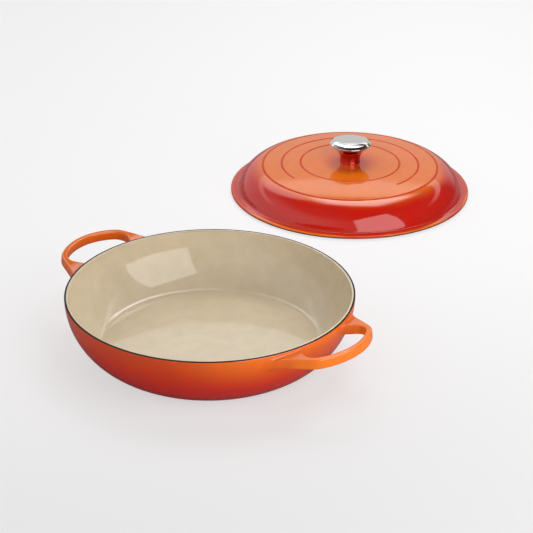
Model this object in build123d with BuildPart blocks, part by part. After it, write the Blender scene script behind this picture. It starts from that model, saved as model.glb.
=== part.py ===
from build123d import *
import os
from math import asin, cos, degrees, hypot, pi, radians, sin, sqrt

# An enamelled iron braiser: a shallow round pan with two cast loop handles,
# and its domed lid with a steel knob, lying beside the pan on the same surface.
# Millimetres, +Z up. The origin is the centre of the pan's base on that surface,
# and +X runs through the middle of one handle.

# Pan
rim_radius = 165.0
pan_height = 69.0
wall_spread = 37.5
base_corner_chamfer = 2.4
wall_thickness = 3.6
floor_thickness = 4.4
crease_radius = 14.0

# Enamel
interior_coat_thickness = 0.4
rim_coat_thickness = 0.6
rim_coat_width = 2.8
rim_chamfer = 0.4
hidden_flat_count = 3

# Loop handles
handle_projection = 45.4
handle_end_radius = 78.0
handle_end_half_width = 49.2
handle_flank_flare = 13.8
handle_flank_setback = 4.0
handle_root_half_width = 79.8
handle_corner_radius = 25.0
handle_flare_radius = 24.0
handle_drop_below_rim = 2.5
handle_rise_angle = 8.0
handle_depth = 12.2
handle_strap_width = 6.9
handle_side_strap = 5.7
handle_top_fillet = 1.5
handle_bottom_fillet = 2.6

# Finger hole of a handle
hole_belly = 3.0
hole_widest_setback = 11.0
hole_root_half_width = 31.0
hole_root_depth = 11.0
hole_corner_radius = 14.0
hole_waist_radius = 9.0

# Lid
lid_apex_height = 43.5
lid_crown_radius = 1300.0
lid_dome_setback = 8.5
lid_shoulder_radius = 44.0
lid_thickness = 4.0
lid_lip_depth = 2.0
lid_lip_clearance = 1.0
lid_flange_thickness = 3.2
lid_flange_rise = 0.9
lid_flange_chamfer = 0.6
lid_foot_chamfer = 2.0
lid_rim_coat_thickness = 0.4
knob_seat_radius = 15.0

# Raised rings on the lid, the middle one open towards the front
outer_ring_inset = 34.5
ring_spacing = 26.2
ring_width = 5.2
ring_crest_width = 1.6
ring_height = 0.9
ring_root_depth = 1.0
ring_gap_angle = 94.0
ring_gap_direction = -58.0

# Place of the lid beside the pan
lid_offset_x = -148.0
lid_offset_y = 455.0

# Knob
knob_height = 32.0
knob_cap_radius = 28.5
knob_disc_radius = 20.0
knob_disc_rise = 0.8
knob_shoulder_radius = 24.8
knob_shoulder_drop = 1.4
knob_bevel_drop = 2.8
knob_edge_thickness = 1.2
knob_neck_radius = 19.5
knob_waist_height = 3.0
knob_waist_radius = 12.5
knob_stem_arc_radius = 20.6
knob_stem_flat_count = 5

# Screw that holds the knob from inside the lid
insert_radius = 5.5
insert_cover = 3.5
screw_radius = 3.0
screw_head_radius = 6.0
screw_head_height = 3.6
screw_head_chamfer = 1.0
screw_slot_width = 1.3
screw_slot_depth = 1.8
screw_end_gap = 2.0
thread_clearance = 0.05
screw_hole_clearance = 0.4
washer_radius = 10.0
washer_thickness = 1.2

# Cuts and blanks run past the faces they meet by this much
overrun = 2.0

os.makedirs("parts", exist_ok=True)


def write(builder, name):
    """Label a finished piece and write it as a file of its own."""
    builder.part.label = name
    export_step(builder.part, f"parts/{name}.step")


def arc_points(centre, radius, start, end, count):
    """Points along an arc, both ends among them, at equal turns in radians."""
    turns = [start + (end - start) * step / count for step in range(count + 1)]
    return [(centre[0] + radius * cos(turn), centre[1] + radius * sin(turn)) for turn in turns]


def flats_round_arc(centre, radius, start, end, count):
    """Corners of flats that touch an arc from outside, for faces hidden under enamel."""
    return arc_points(centre, radius / cos(abs(end - start) / count / 2), start, end, count)


# The pan's wall is one round arc in section, upright at the rim.
casting_top = pan_height - rim_coat_thickness
base_radius = rim_radius - wall_spread
wall_arc_radius = (wall_spread**2 + casting_top**2) / (2 * wall_spread)
wall_arc_centre = (rim_radius - wall_arc_radius, casting_top)
coated_wall = wall_thickness + interior_coat_thickness
coated_floor = floor_thickness + interior_coat_thickness
coat_inner = rim_radius - coated_wall
band_inner = rim_radius - rim_coat_width


def wall_arc(height, inset):
    """The wall's arc, set in from the outside, from a height up to the casting's top."""
    radius = wall_arc_radius - inset
    sweep = degrees(asin((casting_top - height) / radius))
    return CenterArc(wall_arc_centre, radius, -sweep, sweep)


# Face where iron and inside enamel meet, from the axis out to the casting's top
iron_arc_radius = wall_arc_radius - wall_thickness
bond_start = -asin((casting_top - floor_thickness) / iron_arc_radius)
bond = flats_round_arc(wall_arc_centre, iron_arc_radius, bond_start, 0, hidden_flat_count)
# The lowest flat is drawn on or cut short to the level of the iron floor.
flat_slope = (bond[1][1] - bond[0][1]) / (bond[1][0] - bond[0][0])
bond_foot = bond[1][0] - (bond[1][1] - floor_thickness) / flat_slope
bond_line = [(0, floor_thickness), (bond_foot, floor_thickness)] + bond[1:]

# One loop handle, drawn flat and then tilted up: its top face is at zero height, +X points
# away from the pan and X is zero at the rim. Its root ends in the hollow that is cut later.
handle_top = pan_height - handle_drop_below_rim
handle_place = Location((rim_radius, 0, handle_top), (0, -handle_rise_angle, 0))
end_centre = handle_projection - handle_end_radius
end_x = end_centre + sqrt(handle_end_radius**2 - handle_end_half_width**2)
flank_x = -handle_flank_setback
flank_half_width = handle_end_half_width + handle_flank_flare
root_radius = coat_inner - coated_wall
root_x = sqrt(root_radius**2 - handle_root_half_width**2) - rim_radius
hole_end_radius = handle_end_radius - handle_strap_width
hole_end_half_width = handle_end_half_width - handle_side_strap
hole_half_width = hole_end_half_width + hole_belly
hole_end_x = end_centre + sqrt(hole_end_radius**2 - hole_end_half_width**2)
hole_widest_x = hole_end_x - hole_widest_setback
hole_root_x = -hole_root_depth


def distance_from_axis(edge):
    """Distance from the pan's axis to the middle of one of the flat handle's edges."""
    return hypot(rim_radius + edge.center().X, edge.center().Y)


with BuildPart() as loop_handle:
    with BuildSketch(Plane.XY):
        with BuildLine():
            Polyline(
                (end_x, handle_end_half_width),
                (flank_x, flank_half_width),
                (root_x, handle_root_half_width),
                (root_x, -handle_root_half_width),
                (flank_x, -flank_half_width),
                (end_x, -handle_end_half_width),
            )
            ThreePointArc(
                (end_x, handle_end_half_width),
                (handle_projection, 0),
                (end_x, -handle_end_half_width),
            )
        make_face()
        corners = vertices().group_by(Axis.X)
        fillet(corners[-1], radius=handle_corner_radius)
        fillet(corners[1], radius=handle_flare_radius)
        with BuildSketch(mode=Mode.PRIVATE) as finger_hole:
            with BuildLine():
                Polyline(
                    (hole_end_x, hole_end_half_width),
                    (hole_widest_x, hole_half_width),
                    (hole_root_x, hole_root_half_width),
                    (hole_root_x, -hole_root_half_width),
                    (hole_widest_x, -hole_half_width),
                    (hole_end_x, -hole_end_half_width),
                )
                ThreePointArc(
                    (hole_end_x, hole_end_half_width),
                    (end_centre + hole_end_radius, 0),
                    (hole_end_x, -hole_end_half_width),
                )
            make_face()
            hole_corners = vertices().group_by(Axis.X)
            fillet(hole_corners[-1], radius=hole_corner_radius)
            fillet(hole_corners[1], radius=hole_waist_radius)
        add(finger_hole.sketch, mode=Mode.SUBTRACT)
    extrude(amount=-handle_depth)
    # The two edges inside the pan's wall, nearest its axis, stay sharp.
    for face_index, radius in ((-1, handle_top_fillet), (0, handle_bottom_fillet)):
        face_edges = faces().sort_by(Axis.Z)[face_index].edges()
        fillet(face_edges.sort_by(distance_from_axis)[2:], radius=radius)

# Pan casting, iron with its outside enamel: a solid bowl, both handles, then the hollow
with BuildPart() as pan_casting:
    with BuildSketch(Plane.XZ):
        with BuildLine():
            Polyline((rim_radius, casting_top), (0, casting_top), (0, 0), (base_radius, 0))
            wall_arc(0, 0)
        make_face()
        chamfer(vertices().sort_by_distance((base_radius, 0))[0], length=base_corner_chamfer)
    revolve(axis=Axis.Z)
    for turn in (0, 180):
        add(loop_handle.part.moved(Rotation(0, 0, turn) * handle_place))
    with BuildSketch(Plane.XZ):
        with BuildLine():
            Polyline(
                bond_line + [(bond[-1][0], casting_top + overrun), (0, casting_top + overrun)],
                close=True,
            )
        make_face()
    revolve(axis=Axis.Z, mode=Mode.SUBTRACT)
write(pan_casting, "pan_casting")

# Inside enamel: floor, wall and the inner part of the rim
with BuildPart() as pan_interior_enamel:
    with BuildSketch(Plane.XZ):
        with BuildLine():
            floor_turn = asin((casting_top - coated_floor) / (wall_arc_radius - coated_wall))
            crease_x = wall_arc_centre[0] + (wall_arc_radius - coated_wall) * cos(floor_turn)
            Polyline(
                [(crease_x, coated_floor), (0, coated_floor)]
                + bond_line
                + [
                    (band_inner, casting_top),
                    (band_inner, pan_height),
                    (coat_inner + rim_chamfer, pan_height),
                    (coat_inner, pan_height - rim_chamfer),
                    (coat_inner, casting_top),
                ]
            )
            wall_arc(coated_floor, coated_wall)
        make_face()
        fillet(vertices().sort_by_distance((crease_x, coated_floor))[0], radius=crease_radius)
    revolve(axis=Axis.Z)
write(pan_interior_enamel, "pan_interior_enamel")

# Matt band on the rim, which the lid rests on
with BuildPart() as pan_rim_coat:
    with BuildSketch(Plane.XZ):
        with BuildLine():
            Polyline(
                (band_inner, casting_top),
                (rim_radius, casting_top),
                (rim_radius, pan_height - rim_chamfer),
                (rim_radius - rim_chamfer, pan_height),
                (band_inner, pan_height),
                close=True,
            )
        make_face()
    revolve(axis=Axis.Z)
write(pan_rim_coat, "pan_rim_coat")

# Shape of the lid: a wide crown, nearly flat, that runs into a round shoulder
lid_axis = Axis((lid_offset_x, lid_offset_y, 0), (0, 0, 1))
lid_dome_radius = rim_radius - lid_dome_setback
crown_centre = lid_apex_height - sqrt(lid_crown_radius**2 - knob_seat_radius**2)
shoulder_x = lid_dome_radius - lid_shoulder_radius
shoulder_z = crown_centre + sqrt((lid_crown_radius - lid_shoulder_radius) ** 2 - shoulder_x**2)
crown_end = asin((shoulder_z - crown_centre) / (lid_crown_radius - lid_shoulder_radius))
flange_bottom = lid_lip_depth + lid_rim_coat_thickness
flange_edge = lid_lip_depth + lid_flange_thickness
flange_root = flange_edge + lid_flange_rise
lip_radius = rim_radius - coated_wall - lid_lip_clearance
outer_ring_radius = lid_dome_radius - outer_ring_inset
middle_ring_radius = outer_ring_radius - ring_spacing
inner_ring_radius = middle_ring_radius - ring_spacing


def lid_plane(direction):
    """Upright plane through the lid's axis, with its X along a direction in degrees."""
    turn = radians(direction)
    return Plane(
        origin=(lid_offset_x, lid_offset_y, 0),
        x_dir=(cos(turn), sin(turn), 0),
        z_dir=(sin(turn), -cos(turn), 0),
    )


def crown_height(distance):
    """Height of the lid's outside crown at a distance from its axis."""
    return crown_centre + sqrt(lid_crown_radius**2 - distance**2)


def shoulder_point(turn):
    """Point of the outside shoulder's arc, in a section through the lid's axis."""
    return (
        shoulder_x + lid_shoulder_radius * cos(turn),
        shoulder_z + lid_shoulder_radius * sin(turn),
    )


def lid_top(distance):
    """Height of the lid's outside at a distance from its axis, on the crown or the shoulder."""
    if distance < shoulder_point(crown_end)[0]:
        return crown_height(distance)
    return shoulder_z + sqrt(lid_shoulder_radius**2 - (distance - shoulder_x) ** 2)


def lid_inside(inset):
    """Line of the lid's inside, from the flat over the knob's screw down to the lip."""
    radius = lid_shoulder_radius - inset
    foot_turn = asin(-shoulder_z / radius)
    ceiling = crown_centre + sqrt((lid_crown_radius - inset) ** 2 - knob_seat_radius**2)
    flats = flats_round_arc((shoulder_x, shoulder_z), radius, crown_end, foot_turn, hidden_flat_count)
    return [(0, ceiling), (knob_seat_radius, ceiling)] + flats[:-1] + [(flats[-1][0], 0)]


# Lid casting, iron with its outside enamel: dome, flange, locating lip and raised rings
lid_bond = lid_inside(lid_thickness - interior_coat_thickness)
iron_ceiling = lid_bond[0][1]
with BuildPart() as lid_casting:
    with BuildSketch(lid_plane(0)):
        foot_turn = asin((flange_root - shoulder_z) / lid_shoulder_radius)
        foot_point = shoulder_point(foot_turn)
        with BuildLine():
            CenterArc(
                (shoulder_x, shoulder_z),
                lid_shoulder_radius,
                degrees(foot_turn),
                degrees(crown_end - foot_turn),
            )
            Polyline(
                shoulder_point(crown_end),
                (middle_ring_radius, crown_height(middle_ring_radius)),
                (inner_ring_radius, crown_height(inner_ring_radius)),
                (knob_seat_radius, lid_apex_height),
                (0, lid_apex_height),
                *lid_bond,
                (lip_radius, 0),
                (lip_radius, flange_bottom),
                (rim_radius, flange_bottom),
                (rim_radius, flange_edge - lid_flange_chamfer),
                (rim_radius - lid_flange_chamfer, flange_edge),
                foot_point,
            )
        make_face()
        chamfer(vertices().sort_by_distance(foot_point)[0], length=lid_foot_chamfer)
    revolve(axis=lid_axis)
    for ring_radius, gap in (
        (inner_ring_radius, 0),
        (middle_ring_radius, ring_gap_angle),
        (outer_ring_radius, 0),
    ):
        inside = ring_radius - ring_width / 2
        outside = ring_radius + ring_width / 2
        crest = lid_top(ring_radius) + ring_height
        with BuildSketch(lid_plane(ring_gap_direction + gap / 2)):
            with BuildLine():
                Polyline(
                    (inside, lid_top(inside) - ring_root_depth),
                    (inside, lid_top(inside)),
                    (ring_radius - ring_crest_width / 2, crest),
                    (ring_radius + ring_crest_width / 2, crest),
                    (outside, lid_top(outside)),
                    (outside, lid_top(outside) - ring_root_depth),
                    close=True,
                )
            make_face()
        revolve(axis=lid_axis, revolution_arc=360 - gap)
    with BuildSketch(Plane((lid_offset_x, lid_offset_y, iron_ceiling - overrun))):
        Circle(screw_radius + screw_hole_clearance)
    extrude(amount=lid_apex_height - iron_ceiling + 2 * overrun, mode=Mode.SUBTRACT)
write(lid_casting, "lid_casting")

# Inside enamel of the lid, open round the screw so that the washer bears on iron
with BuildPart() as lid_interior_enamel:
    with BuildSketch(lid_plane(0)):
        coat_line = lid_inside(lid_thickness)
        coat_start = washer_radius + screw_hole_clearance
        with BuildLine():
            Polyline(
                (coat_start, iron_ceiling),
                *lid_bond[1:],
                *reversed(coat_line[1:]),
                (coat_start, coat_line[0][1]),
                close=True,
            )
        make_face()
    revolve(axis=lid_axis)
write(lid_interior_enamel, "lid_interior_enamel")

# Matt band under the lid's flange, which meets the pan's rim
with BuildPart() as lid_rim_coat:
    with BuildSketch(lid_plane(0)):
        with BuildLine():
            Polyline(
                (lip_radius, flange_bottom),
                (lip_radius, lid_lip_depth),
                (rim_radius - lid_rim_coat_thickness, lid_lip_depth),
                (rim_radius, flange_bottom),
                close=True,
            )
        make_face()
    revolve(axis=lid_axis)
write(lid_rim_coat, "lid_rim_coat")

# Heights on the knob, from the surface
cap_top = lid_apex_height + knob_height
disc_edge = cap_top - knob_disc_rise
shoulder_height = disc_edge - knob_shoulder_drop
cap_bevel_foot = shoulder_height - knob_bevel_drop
cap_edge = cap_bevel_foot - knob_edge_thickness
stem_arc_centre = (knob_waist_radius + knob_stem_arc_radius, lid_apex_height + knob_waist_height)
neck_half_chord = stem_arc_centre[0] - knob_neck_radius
neck_height = stem_arc_centre[1] + sqrt(knob_stem_arc_radius**2 - neck_half_chord**2)
insert_top = neck_height - insert_cover

# Knob cap: a bevelled disc with a low crown
with BuildPart() as knob_cap:
    with BuildSketch(lid_plane(0)):
        with BuildLine():
            Polyline(
                (0, neck_height),
                (0, cap_top),
                (knob_disc_radius, disc_edge),
                (knob_shoulder_radius, shoulder_height),
                (knob_cap_radius, cap_bevel_foot),
                (knob_cap_radius, cap_edge),
                (knob_neck_radius, neck_height),
                close=True,
            )
        make_face()
    revolve(axis=lid_axis)
write(knob_cap, "knob_cap")

# Knob stem: waisted, with a blind hole for the threaded insert
with BuildPart() as knob_stem:
    with BuildSketch(lid_plane(0)):
        foot_turn = pi + asin(knob_waist_height / knob_stem_arc_radius)
        neck_turn = pi - asin((neck_height - stem_arc_centre[1]) / knob_stem_arc_radius)
        with BuildLine():
            Polyline(
                *arc_points(
                    stem_arc_centre, knob_stem_arc_radius, neck_turn, foot_turn, knob_stem_flat_count
                ),
                (insert_radius, lid_apex_height),
                (insert_radius, insert_top),
                (0, insert_top),
                (0, neck_height),
                close=True,
            )
        make_face()
    revolve(axis=lid_axis)
write(knob_stem, "knob_stem")

# Threaded insert in the stem
with BuildPart() as knob_insert:
    with BuildSketch(Plane((lid_offset_x, lid_offset_y, lid_apex_height))):
        Circle(insert_radius)
        Circle(screw_radius + thread_clearance, mode=Mode.SUBTRACT)
    extrude(amount=insert_top - lid_apex_height)
write(knob_insert, "knob_insert")

# Washer between the screw's head and the bare iron inside the lid
washer_bottom = iron_ceiling - washer_thickness
with BuildPart() as knob_washer:
    with BuildSketch(Plane((lid_offset_x, lid_offset_y, washer_bottom))):
        Circle(washer_radius)
        Circle(screw_radius + screw_hole_clearance, mode=Mode.SUBTRACT)
    extrude(amount=washer_thickness)
write(knob_washer, "knob_washer")

# Screw, with a crossed slot in its head
head_bottom = washer_bottom - screw_head_height
with BuildPart() as knob_screw:
    with BuildSketch(lid_plane(0)):
        with BuildLine():
            Polyline(
                (0, head_bottom),
                (screw_head_radius - screw_head_chamfer, head_bottom),
                (screw_head_radius, head_bottom + screw_head_chamfer),
                (screw_head_radius, washer_bottom),
                (screw_radius, washer_bottom),
                (screw_radius, insert_top - screw_end_gap),
                (0, insert_top - screw_end_gap),
                close=True,
            )
        make_face()
    revolve(axis=lid_axis)
    with BuildSketch(Plane((lid_offset_x, lid_offset_y, head_bottom - overrun))):
        for slot_turn in (0, 90):
            Rectangle(2 * screw_head_radius + overrun, screw_slot_width, rotation=slot_turn)
    extrude(amount=screw_slot_depth + overrun, mode=Mode.SUBTRACT)
write(knob_screw, "knob_screw")
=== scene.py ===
from math import acos, asin, atan2, ceil, cos, degrees, hypot, pi, radians, sin, sqrt, tan

import bmesh
import bpy
from bpy.props import FloatProperty, FloatVectorProperty, IntProperty, PointerProperty
from bpy.types import Operator, Panel, PropertyGroup
from mathutils import Matrix, Vector


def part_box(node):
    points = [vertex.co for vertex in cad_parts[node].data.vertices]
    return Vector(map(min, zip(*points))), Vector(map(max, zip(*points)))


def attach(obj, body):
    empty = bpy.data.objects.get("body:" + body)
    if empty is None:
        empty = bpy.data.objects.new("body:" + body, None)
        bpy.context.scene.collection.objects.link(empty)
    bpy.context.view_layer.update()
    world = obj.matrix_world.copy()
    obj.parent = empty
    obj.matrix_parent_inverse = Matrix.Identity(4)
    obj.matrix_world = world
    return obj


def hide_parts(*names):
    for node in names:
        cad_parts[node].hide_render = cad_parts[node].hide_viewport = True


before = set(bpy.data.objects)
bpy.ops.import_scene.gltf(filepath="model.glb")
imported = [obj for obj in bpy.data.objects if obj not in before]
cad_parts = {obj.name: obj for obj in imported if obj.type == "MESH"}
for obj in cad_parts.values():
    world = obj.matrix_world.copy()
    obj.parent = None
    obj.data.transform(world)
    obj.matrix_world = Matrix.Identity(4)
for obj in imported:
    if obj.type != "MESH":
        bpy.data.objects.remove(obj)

bl_info = {
    "name": "Enamelled Braiser",
    "version": (1, 0, 0),
    "blender": (4, 5, 0),
    "location": "View3D > Sidebar > Braiser",
    "description": "Builds an enamelled iron braiser with its lid and steel knob lying beside it",
    "category": "Mesh",
}

MM = 0.001

# Mesh steps round and along one half of a handle
CORNER_STEPS = 6
OUTLINE_STEPS = (26, 12, 16)
SOFTENING_STEPS = 6
LAST_FREE_ROW = 30
ROOT_STEPS = 12
BLEND_STEPS = 7

# Mesh steps of the sections of the turned pieces
FLOOR_STEPS = 12
RING_STEPS = 12
CEILING_STEPS = 12
DISC_STEPS = 10
LEAST_ROUNDING_STEPS = 3
DEGREES_PER_STEP = 12
CROWN_STEP = 4.0 * MM
LEAST_CROWN_STEP = 1.2 * MM

# Rounds of the search for the nearest place on the wall, rows back that give a strap's
# direction at its foot, and steps of the wall that the base's rounding stands in for
NEAREST_ROUNDS = 3
ROWS_BACK = 3
BASE_STEPS = 3

# Handle: how far the corners of its outlines are softened, at the end and at the flank,
# how its section is rounded, and how its root stays below the rim and sinks into the wall
OUTER_SOFTENING = (6.5 * MM, 6.0 * MM)
HOLE_SOFTENING = (4.8 * MM, 5.0 * MM)
STRAP_ROUND_SHARE = 0.46
FLAT_HOLD = 0.5 * MM
FLAT_HOLD_SHARE = 0.25
LEAST_LEAN = 0.45
RIM_CLEARANCE = 0.25 * MM
RIM_ROOM_SHARE = 0.8
LEAST_RISE = 0.2
SEAM_DEPTH = 0.02 * MM
SINK_DEPTH = 1.5 * MM

# Small clearances and roundings of the turned pieces
CREASE_CLEARANCE = 1.0 * MM
FOOT_CLEARANCE_SHARE = 1.6
LID_BAND_ROUND_SHARE = 0.8
CAP_ROUNDINGS = (1.6 * MM, 0.5 * MM, 0.4 * MM)

# Rings: the share of the lid's height above which they rise, and how fast the darker enamel
# sets in on their slopes
CROWN_HEIGHT_SHARE = 0.6
RING_DARKENING_STEEPNESS = 2.5

# Finishes: second colours and how strongly they are mixed in, the enamel's gloss and skin,
# and how much a ring's mark darkens the enamel and dulls it
CLOUD_COLOUR = (0.10, 0.06, 0.04)
FLECK_COLOUR = (0.36, 0.29, 0.20)
PIT_COLOUR = (0.012, 0.012, 0.013)
STREAK_COLOUR = (0.62, 0.61, 0.60)
GRAIN_COLOUR = (0.36, 0.36, 0.35)
CLOUD_SHARE, FLECK_SHARE = 0.07, 0.25
ENAMEL_IOR = 1.52
ENAMEL_WAVE = 0.03 * MM
FINE_WAVE_SHARE = 0.06
RING_DARKENING_SHARE = 0.72
PLAIN_SPECULAR, DULLED_SHARE = 0.5, 0.42

# Floor: its size, how much it glows to the eye, how much of it the enamel mirrors, and the
# directions across and away from the viewer along which its painted light falloff runs
FLOOR_HALF_WIDTH = 8.0
FLOOR_GLOW_SHARE = 0.7
FLOOR_MIRRORED_SHARE = 0.3
ACROSS = (0.765, 0.644, 0.0)
AWAY = (-0.644, 0.765, 0.0)

# Studio around: directions in degrees, how far each part spreads as a range of cosines, and
# levels where 1 is white
WALL_AZIMUTH, WALL_SPREAD, WALL_LEVELS = 165.0, (0.10, 0.50), (0.0, 0.78)
PANEL_AZIMUTH, PANEL_SPREAD, PANEL_LEVELS = 140.0, (-0.20, 0.50), (0.0, 1.6)
FILL_AZIMUTH, FILL_SPREAD, FILL_LEVELS = -120.0, (-0.10, 0.90), (0.09, 0.95)
PANEL_FOOT, PANEL_HEAD = (28.0, 29.2), (33.0, 35.5)
FILL_FADE, FILL_FADE_SHARES = (40.0, 60.0), (1.0, 0.3)
HIGH_PANEL_AZIMUTH, HIGH_PANEL_ELEVATION = 154.0, 46.0
HIGH_PANEL_SPREAD, HIGH_PANEL_LEVELS = (0.940, 0.985), (0.0, 2.2)
BACKDROP_LEVEL = 0.95

# Lamps: place, aim, width and height, and the share over which the edges fade
SOFTBOX = ((0.70, 0.02, 0.62), (0.0, 0.02, 0.55), 0.86, 1.05, 0.0)
OVERHEAD = ((-0.46, 1.10, 1.50), (-0.10, 0.25, 0.0), 1.25, 1.25, 0.6)

# Camera: its place, its directions, its sensor and lens in millimetres, and its reach
CAMERA_PLACE = (1.114394, -1.228514, 0.921296)
CAMERA_RIGHT = Vector((0.764976, 0.644051, 0.003338))
CAMERA_UP = Vector((-0.288344, 0.33784, 0.895948))
CAMERA_FORWARD = Vector((-0.575908, 0.68634, -0.444147))
CAMERA_SENSOR, CAMERA_LENS = 36.0, 110.769
CAMERA_REACH = 60.0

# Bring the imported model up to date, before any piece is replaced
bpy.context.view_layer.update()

# Places and outer sizes that the construction model gives
pan_rim_low, pan_rim_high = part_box("pan_rim_coat")
lid_low, lid_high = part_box("lid_casting")
lid_coat_low, lid_coat_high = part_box("lid_rim_coat")
cap_low, cap_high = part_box("knob_cap")
rim_radius = pan_rim_high.x
pan_height = pan_rim_high.z
casting_top = pan_rim_low.z
lid_centre = (lid_low + lid_high) / 2
lid_apex = lid_high.z
lid_flange_bottom = lid_coat_high.z
lid_lip_depth = lid_coat_low.z
cap_radius = (cap_high.x - cap_low.x) / 2
cap_top = cap_high.z
neck_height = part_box("knob_stem")[1].z


def length(description, millimetres):
    """A length that a user may change, kept in metres."""
    default = millimetres * MM
    return FloatProperty(
        description=description, default=default, min=0.0, unit="LENGTH", precision=5
    )


def slope(description, default):
    """A slope that a user may change, as height over length."""
    return FloatProperty(description=description, default=default)


def angle(description, turn):
    """An angle that a user may change, given in degrees and kept in radians."""
    return FloatProperty(description=description, default=radians(turn), subtype="ANGLE")


def level(description, default):
    """A brightness that a user may change."""
    return FloatProperty(description=description, default=default, min=0.0)


def colour(description, default):
    """A surface colour that a user may change."""
    return FloatVectorProperty(
        description=description, default=default, size=3, min=0.0, max=1.0, subtype="COLOR"
    )


class BraiserPanSizes(PropertyGroup):
    """Sizes of the pan and its two loop handles"""

    base_radius: length("Radius of the flat base", 127.5)
    base_round: length("Rounding between base and wall", 3.0)
    wall: length("Iron wall with its outside enamel", 3.6)
    floor: length("Iron floor with its outside enamel", 4.4)
    coat: length("Thickness of the inside enamel", 0.4)
    crease: length("Radius between floor and wall, inside", 14.0)
    band_width: length("Width of the matt band on the rim", 2.0)
    rim_round: length("Rounding of the enamel at the rim", 0.55)
    band_round: length("Rounding of the matt band's outer edge", 0.35)
    projection: length("Tip of the handle beyond the rim", 45.4)
    end_radius: length("Radius of the handle's outer end, seen from above", 78.0)
    end_half_width: length("Half width where the end meets the flank", 49.2)
    flank_half_width: length("Half width where the flank starts to flare", 63.0)
    flank_setback: length("Place of the flare, inwards of the rim", 4.0)
    root_half_width: length("Half width of the handle inside the wall", 79.8)
    strap: length("Width of the handle's strap at its end", 6.9)
    side_strap: length("Width of the handle's strap at its side", 5.7)
    hole_belly: length("How far the finger hole widens towards the pan", 3.0)
    hole_setback: length("Place of the hole's widest point", 11.0)
    hole_root_half_width: length("Half width of the hole at the wall", 31.0)
    hole_root_depth: length("Place of the hole's root, inwards of the rim", 11.0)
    handle_drop: length("Top of the handle below the rim, at the rim", 2.5)
    handle_depth: length("Height of the handle's strap", 12.2)
    handle_top_round: length("Rounding of the handle's top edges", 2.3)
    handle_bottom_round: length("Rounding of the handle's lower edges", 2.9)
    dip_start: length("Where the top starts to dip towards the rim", 8.0)
    dip_radius: length("Radius at the start of the dip", 60.0)
    dip_slope: slope("Slope of the dip towards the rim", 0.065)
    root_blend: length("Hollow between the handle and the wall", 4.5)
    plate_tip: slope("Slope of the handle's roots, down to the outside", 0.03)
    handle_rise: angle("Slope of the handle's top face", 8.0)


class BraiserLidSizes(PropertyGroup):
    """Sizes of the lid, its raised rings and its knob"""

    dome_setback: length("Foot of the dome, inwards of the rim", 8.5)
    crown_radius: length("Radius of the nearly flat crown", 1300.0)
    shoulder_radius: length("Radius of the round shoulder", 44.0)
    thickness: length("Iron and both enamels", 4.0)
    coat: length("Thickness of the inside enamel", 0.4)
    lip_setback: length("Locating lip, inwards of the rim", 5.0)
    flange: length("Thickness of the flange at its edge", 3.2)
    flange_rise: length("How far the flange climbs to the dome", 0.9)
    flange_round: length("Rounding of the flange's edge", 0.9)
    foot_round: length("Hollow between flange and dome", 3.2)
    outer_ring_inset: length("Outer ring's crest, inwards of the dome's foot", 35.2)
    ring_spacing: length("Step from ring to ring", 26.2)
    ring_inner_side: length("Width of a ring's slope towards the knob", 2.6)
    ring_outer_side: length("Width of a ring's slope towards the rim", 1.4)
    ring_height: length("Height of a raised ring", 0.55)
    ring_gap: angle("Opening of the middle ring", 94.0)
    ring_gap_direction: angle("Where the middle ring is open, seen from above", -58.0)
    seat_radius: length("Flat for the knob", 15.0)
    screw_hole: length("Radius of the hole for the knob's screw", 3.4)
    washer_clearance: length("Radius left bare for the washer", 10.4)
    disc_radius: length("Radius of the cap's low crown", 20.0)
    disc_rise: length("Height of the cap's low crown", 0.8)
    cap_shoulder: length("Radius where the cap's bevel starts", 24.8)
    cap_shoulder_drop: length("Drop from the disc to the bevel", 1.4)
    cap_bevel_drop: length("Drop of the cap's bevel", 2.8)
    cap_edge: length("Thickness of the cap's edge", 1.2)
    waist_height: length("Height of the stem's waist", 3.0)
    waist_radius: length("Radius of the stem's waist", 13.8)
    stem_arc: length("Radius of the stem's hollow side", 20.9)
    insert_radius: length("Radius of the threaded insert", 5.5)


class BraiserFinish(PropertyGroup):
    """Colours of the enamels and the steel"""

    orange: colour("Enamel at the rim, the handles and the crown", (0.76, 0.158, 0.007))
    red: colour("Enamel at the base and the side of the lid", (0.54, 0.010, 0.004))
    sand: colour("Inside enamel", (0.63, 0.525, 0.37))
    black: colour("Matt band on the rim", (0.004, 0.004, 0.005))
    steel: colour("Polished steel of the knob", (0.72, 0.71, 0.69))
    # Painted reflection: the stem's steel is coloured red, like the lid's enamel that it mirrors
    stem_painted_reflection: colour("Steel of the knob's stem, red from the enamel", (0.70, 0.10, 0.08))
    plain_steel: colour("Screw, washer and insert", (0.55, 0.55, 0.54))


class BraiserStage(PropertyGroup):
    """Floor, lamps and mesh fineness"""

    floor_colour: colour("Pale floor", (0.86, 0.86, 0.865))
    softbox_level: level("Brightness of the soft lamp", 3.2)
    overhead_level: level("Brightness of the lamp above", 5.4)
    turns: IntProperty(description="Steps round a turned piece", default=360, min=24)


def settings(*groups):
    """The named groups of sizes, as they are now set."""
    return [getattr(bpy.context.scene, "braiser_" + group) for group in groups]


# Lines of a section, as lists of (radius, height)
def arc(centre, radius, start, end, steps):
    """Points along an arc, both ends among them, with its turns in radians."""
    turns = [start + (end - start) * step / steps for step in range(steps + 1)]
    return [(centre[0] + radius * cos(turn), centre[1] + radius * sin(turn)) for turn in turns]


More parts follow.
